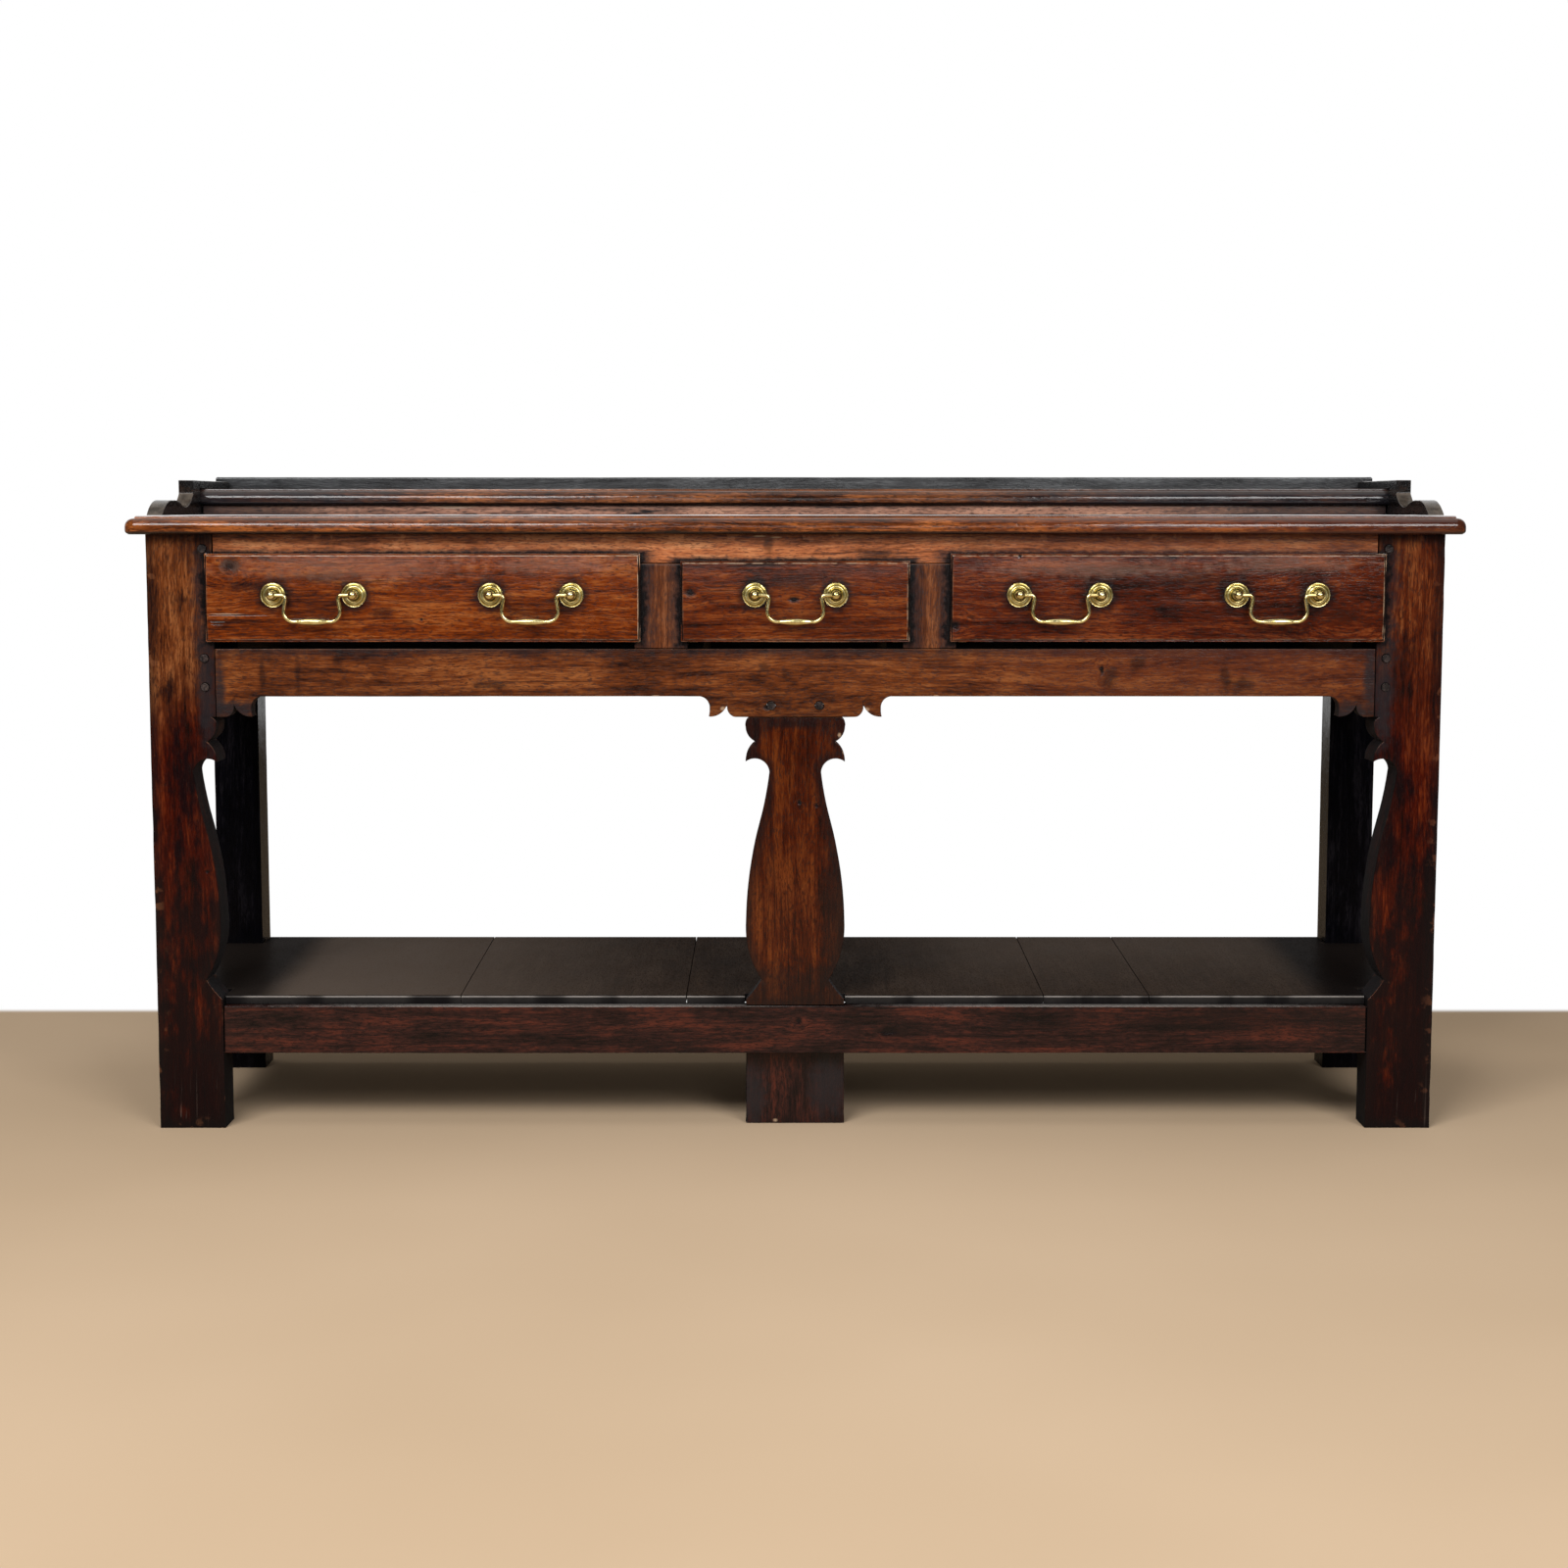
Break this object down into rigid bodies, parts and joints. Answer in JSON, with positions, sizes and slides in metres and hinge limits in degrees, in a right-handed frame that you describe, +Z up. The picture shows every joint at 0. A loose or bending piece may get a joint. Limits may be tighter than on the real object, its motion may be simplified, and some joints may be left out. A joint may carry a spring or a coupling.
{
  "type": "dresser base",
  "caption": "Oak potboard dresser base with lipped drawers, brass swan-neck bails, fretted splat and legs, shaped apron, boarded pot shelf and a low stepped gallery.",
  "frame": {"origin": "on the floor under the middle of the bounding box", "axes": "+X to the right seen from the front, +Y to the back, +Z up"},
  "size_m": [1.8, 0.4776, 0.897],
  "materials": {
    "oak_frame": "waxed oak, red-brown",
    "oak_drawer": "waxed oak, dark red",
    "oak_dark": "old oak, nearly black",
    "oak_inner": "bare oak, never polished",
    "brass": "polished brass"
  },
  "bodies": {
    "frame": {"front_leg_left": "oak_frame", "front_leg_right": "oak_frame", "rear_leg_left": "oak_dark", "rear_leg_right": "oak_dark", "top_front_rail": "oak_frame", "apron_rail": "oak_frame", "drawer_divider_left": "oak_frame", "drawer_divider_right": "oak_frame", "side_panel_left": "oak_frame", "side_panel_right": "oak_frame", "back_panel": "oak_dark", "front_stretcher": "oak_frame", "back_stretcher": "oak_dark", "side_stretcher_left": "oak_dark", "side_stretcher_right": "oak_dark", "center_splat": "oak_frame", "center_foot": "oak_dark", "pot_board_1": "oak_dark", "pot_board_2": "oak_dark", "pot_board_3": "oak_dark", "pot_board_4": "oak_dark", "pot_board_5": "oak_dark", "top_board_front": "oak_frame", "top_board_rear": "oak_frame", "gallery_end_left": "oak_dark", "gallery_end_right": "oak_dark", "gallery_riser": "oak_frame", "gallery_shelf": "oak_frame", "gallery_back": "oak_dark", "runner_left_outer": "oak_inner", "runner_left_inner": "oak_inner", "runner_right_inner": "oak_inner", "runner_right_outer": "oak_inner", "joint_pegs": "oak_frame"},
    "drawer_left": {"drawer_left_front": "oak_drawer", "drawer_left_side_left": "oak_inner", "drawer_left_side_right": "oak_inner", "drawer_left_back": "oak_inner", "drawer_left_bottom": "oak_inner", "drawer_left_rosettes": "brass", "drawer_left_handle_bolts": "brass"},
    "drawer_center": {"drawer_center_front": "oak_drawer", "drawer_center_side_left": "oak_inner", "drawer_center_side_right": "oak_inner", "drawer_center_back": "oak_inner", "drawer_center_bottom": "oak_inner", "drawer_center_rosettes": "brass", "drawer_center_handle_bolts": "brass"},
    "drawer_right": {"drawer_right_front": "oak_drawer", "drawer_right_side_left": "oak_inner", "drawer_right_side_right": "oak_inner", "drawer_right_back": "oak_inner", "drawer_right_bottom": "oak_inner", "drawer_right_rosettes": "brass", "drawer_right_handle_bolts": "brass"},
    "bail_left_1": {"bail_left_1": "brass"},
    "bail_left_2": {"bail_left_2": "brass"},
    "bail_center": {"bail_center": "brass"},
    "bail_right_1": {"bail_right_1": "brass"},
    "bail_right_2": {"bail_right_2": "brass"}
  },
  "joints": [
    {"name": "drawer_left_slide", "type": "slide", "parent": "frame", "child": "drawer_left", "axis": [0, -1, 0], "range_m": [0, 0.3]},
    {"name": "drawer_center_slide", "type": "slide", "parent": "frame", "child": "drawer_center", "axis": [0, -1, 0], "range_m": [0, 0.3]},
    {"name": "drawer_right_slide", "type": "slide", "parent": "frame", "child": "drawer_right", "axis": [0, -1, 0], "range_m": [0, 0.3]},
    {"name": "bail_left_1_hinge", "type": "hinge", "parent": "drawer_left", "child": "bail_left_1", "pos_m": [-0.6475, -0.23253, 0.734], "axis": [-1, 0, 0], "range_deg": [-12, 165]},
    {"name": "bail_left_2_hinge", "type": "hinge", "parent": "drawer_left", "child": "bail_left_2", "pos_m": [-0.3555, -0.23253, 0.734], "axis": [-1, 0, 0], "range_deg": [-12, 165]},
    {"name": "bail_center_hinge", "type": "hinge", "parent": "drawer_center", "child": "bail_center", "pos_m": [0, -0.23253, 0.734], "axis": [-1, 0, 0], "range_deg": [-12, 165]},
    {"name": "bail_right_1_hinge", "type": "hinge", "parent": "drawer_right", "child": "bail_right_1", "pos_m": [0.3555, -0.23253, 0.734], "axis": [-1, 0, 0], "range_deg": [-12, 165]},
    {"name": "bail_right_2_hinge", "type": "hinge", "parent": "drawer_right", "child": "bail_right_2", "pos_m": [0.6475, -0.23253, 0.734], "axis": [-1, 0, 0], "range_deg": [-12, 165]}
  ]
}
